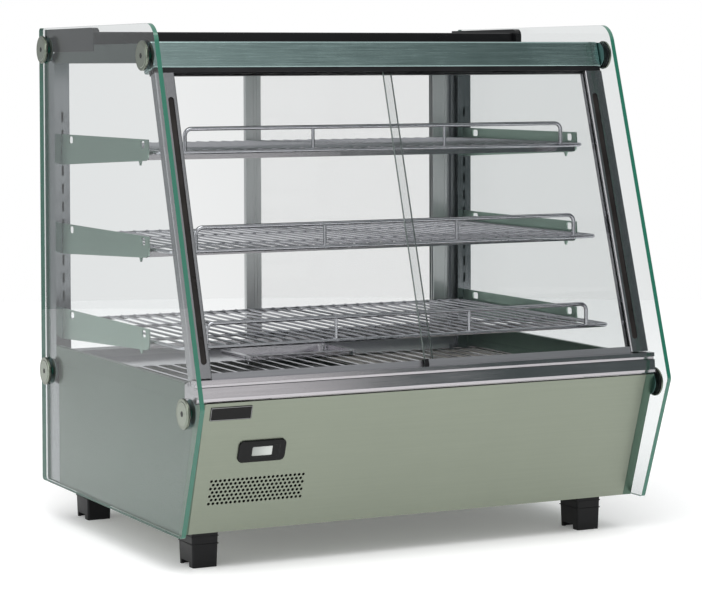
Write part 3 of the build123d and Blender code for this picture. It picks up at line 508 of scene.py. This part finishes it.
def plate_border():
    low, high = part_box("blank_name_plate")
    turn = on_front_panel("blank_name_plate")
    half_wide, half_tall = (high.x - low.x) / 2 - 0.0008, 0.0082
    border = Fitting("name_plate_border")
    for side in (-1, 1):
        y = side * half_tall
        border.block((-half_wide, y - 0.0004, 0.0002), (half_wide, y + 0.0004, 0.0007), turn=turn)
        x = side * half_wide
        border.block((x - 0.0004, -half_tall, 0.0002), (x + 0.0004, half_tall, 0.0007), turn=turn)
    metal = brushed_steel("plate_border_metal", linear("8B8C8C"), GRAIN_X, 0.3)
    border.settle(metal, "chassis", "black_plastic")


def control_marks():
    """Generic dial ticks, rocker pips and pilot window on the serving side."""
    low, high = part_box("thermostat_knob")
    x, z = (low.x + high.x) / 2, (low.z + high.z) / 2
    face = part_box("base_rear_panel")[1].y + 0.001
    ticks = Fitting("dial_ticks")
    for i in range(TICKS):
        angle = math.radians(DIAL_START + DIAL_STEP * i)
        turn = facing_y(x, face, z) @ Matrix.Rotation(angle, 4, "Z")
        length = 0.0045 if i % 5 == 0 else 0.003
        ticks.block((-0.0004, TICK_R, -0.0001), (0.0004, TICK_R + length, 0.0003), 0.0001, turn)
    ticks.settle(painted("white_print", linear("D8D8D4"), 0.5), "chassis", "brushed_steel")
    pointer = Fitting("knob_pointer")
    pointer.block((x - 0.0005, high.y - 0.0003, z + 0.004), (x + 0.0005, high.y + 0.0003, z + 0.014), 0.0001)
    pointer.settle(painted("pointer_white", linear("D2D2CE"), 0.45), "thermostat_knob", "black_plastic")
    for name in ("power_rocker", "lamp_rocker"):
        low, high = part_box(name)
        x, z = (low.x + high.x) / 2, (low.z + high.z) / 2
        pip = Fitting(f"{name}_pip")
        pip.turned(0.0022, -0.0008, 0.0012, turn=facing_y(x, high.y - 0.0012, z - 0.0078))
        tint = "A23A2C" if name == "power_rocker" else "3E8A56"
        pip.settle(moulded(f"{name}_window", linear(tint), 0.18, 0.1), name, "black_plastic")


def gland_nut():
    low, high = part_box("cable_gland")
    x, z = (low.x + high.x) / 2, (low.z + high.z) / 2
    nut = Fitting("gland_nut")
    for radius in (NUT_R, NUT_BORE_R):
        bmesh.ops.create_cone(nut.shape, cap_ends=False, segments=6, radius1=radius, radius2=radius,
                              depth=NUT_DEPTH)
    rims = [e for e in nut.shape.edges if e.is_boundary]
    for level in (-NUT_DEPTH / 2, NUT_DEPTH / 2):
        loop = [e for e in rims if all(abs(v.co.z - level) < 1e-6 for v in e.verts)]
        bmesh.ops.bridge_loops(nut.shape, edges=loop)
    bmesh.ops.transform(nut.shape, matrix=facing_y(x, high.y + 0.0022, z), verts=nut.shape.verts)
    nut.settle(moulded("gland_nylon", linear("131315"), 0.36), "chassis", "black_plastic", smooth=False)


def lamp_caps():
    """Metal end caps of the lamp tube."""
    low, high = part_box("lamp_tube")
    y, z = (low.y + high.y) / 2, (low.z + high.z) / 2
    radius = (high.z - low.z) / 2 + 0.0004
    caps = Fitting("lamp_end_caps")
    for side in (-1, 1):
        end = high.x if side > 0 else low.x
        caps.turned(radius, -0.016, -0.0002, turn=facing_x(end, y, z, side))
    caps.settle(chrome("lamp_cap_metal", linear("B9BABC"), 0.22), "chassis", "screw_steel")


def foot_pads():
    """Two thin rubber bands round each foot."""
    bands = Fitting("foot_bands")
    for low, high in separate("feet", 0.05):
        for level in (0.2, 0.4):
            z = low.z + (high.z - low.z) * (1 - level)
            corner = (low.x + BAND_INSET, low.y + BAND_INSET, z - BAND_HALF)
            bands.block(corner, (high.x - BAND_INSET, high.y - BAND_INSET, z + BAND_HALF), 0.0003)
    bands.settle(moulded("foot_rubber", linear("101012"), 0.6), "chassis", "black_plastic")


def louvre_hoods():
    """Pressed hood over each vent slot of the rear panel."""
    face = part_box("base_rear_panel")[1].y
    hoods = Fitting("louvre_hoods")
    for i in range(LOUVRES):
        z = LOUVRE_LOW_Z + LOUVRE_PITCH * i
        corner = (LOUVRE_X[0], face - 0.0004, z + 0.0016)
        hoods.block(corner, (LOUVRE_X[1], face + 0.0026, z + 0.0034), 0.0008)
    steel = brushed_steel("louvre_steel", linear("909783"), GRAIN_X, 0.34, 0.08, 0.08)
    hoods.settle(steel, "chassis", "brushed_steel")


cap_faces()
thermometer_details()
plate_border()
control_marks()
gland_nut()
lamp_caps()
foot_pads()
louvre_hoods()


# ---- studio ----
def floor():
    """Round pale floor that brightens into the white surroundings at its rim."""
    shape = bmesh.new()
    bmesh.ops.create_circle(shape, cap_ends=True, segments=96, radius=3.4)
    mesh = bpy.data.meshes.new("studio_floor")
    shape.to_mesh(mesh)
    shape.free()
    stage = bpy.data.objects.new("studio_floor", mesh)
    bpy.context.scene.collection.objects.link(stage)
    material, place = start("pale_floor")
    tone = noise(place, 0.6, 2.0)
    away = place.node("ShaderNodeVectorMath", {"operation": "LENGTH"}, {0: place}, "Value")
    glow = away.ramp(0.3, 0.9).blend((0.14, 0.14, 0.14, 1.0), (0.18, 0.18, 0.18, 1.0))
    shader = principled(place, **{
        "Base Color": tone.blend(linear("F6F6F6"), linear("FAFAFA")), "Roughness": 0.9,
        "Emission Color": glow, "Emission Strength": 1.0,
    })
    mesh.materials.append(close(material, shader))


def studio_world():
    """White surroundings with a dark stretch of room to the front right and a dimmer one behind."""
    world = bpy.data.worlds.new("studio")
    bpy.context.scene.world = world
    world.use_nodes = True
    world.node_tree.nodes.clear()
    direction = Signal(world.node_tree).node("ShaderNodeTexCoord", output="Generated")
    x, y, z = (direction.node("ShaderNodeSeparateXYZ", values={0: direction}, output=i) for i in range(3))
    turn = x.math("ARCTAN2", x, y * -1.0)
    room = turn.ramp(0.43, 0.49) * (1.0 - turn.ramp(1.25, 1.5)) * (1.0 - z.ramp(0.56, 0.68))
    behind = y.ramp(0.2, 0.8).blend((1.0, 1.0, 1.0, 1.0), (0.62, 0.63, 0.64, 1.0))
    light = room.blend(behind, (0.13, 0.16, 0.16, 1.0))
    seen = direction.node("ShaderNodeLightPath", output="Is Camera Ray")
    colour = seen.blend(light, (1.0, 1.0, 1.0, 1.0))
    background = direction.node("ShaderNodeBackground", values={"Color": colour, "Strength": 1.0})
    output = world.node_tree.nodes.new("ShaderNodeOutputWorld")
    world.node_tree.links.new(background.socket, output.inputs["Surface"])


def softbox(name, place, aim, size, power):
    light = bpy.data.lights.new(name, "AREA")
    light.shape = "RECTANGLE"
    light.size, light.size_y = size
    light.energy = power
    lamp = bpy.data.objects.new(name, light)
    bpy.context.scene.collection.objects.link(lamp)
    lamp.location = place
    lamp.rotation_mode = "QUATERNION"
    lamp.rotation_quaternion = (Vector(aim) - Vector(place)).to_track_quat("-Z", "Y")
    lamp.visible_camera = False


def camera():
    data = bpy.data.cameras.new("main_view")
    eye = bpy.data.objects.new("main_view", data)
    bpy.context.scene.collection.objects.link(eye)
    data.sensor_width = 36.0
    data.lens = 126.68
    data.shift_x = 0.061
    data.shift_y = -0.2015
    data.clip_start, data.clip_end = 0.1, 60.0
    turn, tilt, roll = (math.radians(angle) for angle in (25.71, -2.03, -0.24))
    forward = Vector((math.sin(turn) * math.cos(tilt), math.cos(turn) * math.cos(tilt), math.sin(tilt)))
    level = Vector((math.cos(turn), -math.sin(turn), 0))
    upright = level.cross(forward)
    right = level * math.cos(roll) + upright * math.sin(roll)
    top = upright * math.cos(roll) - level * math.sin(roll)
    pose = Matrix((right, top, -forward)).transposed().to_4x4()
    pose.translation = Vector((-1.5065, -3.0115, 0.6274))
    eye.matrix_world = pose
    bpy.context.scene.camera = eye


floor()
studio_world()
softbox("key_overhead", (-0.6, -1.2, 2.6), (0, 0, 0.2), (2.4, 2.0), 45.0)
softbox("fill_left", (-2.6, -0.6, 1.4), (0, 0, 0.3), (1.6, 1.6), 14.0)
camera()
bpy.context.scene.view_settings.view_transform = "Standard"
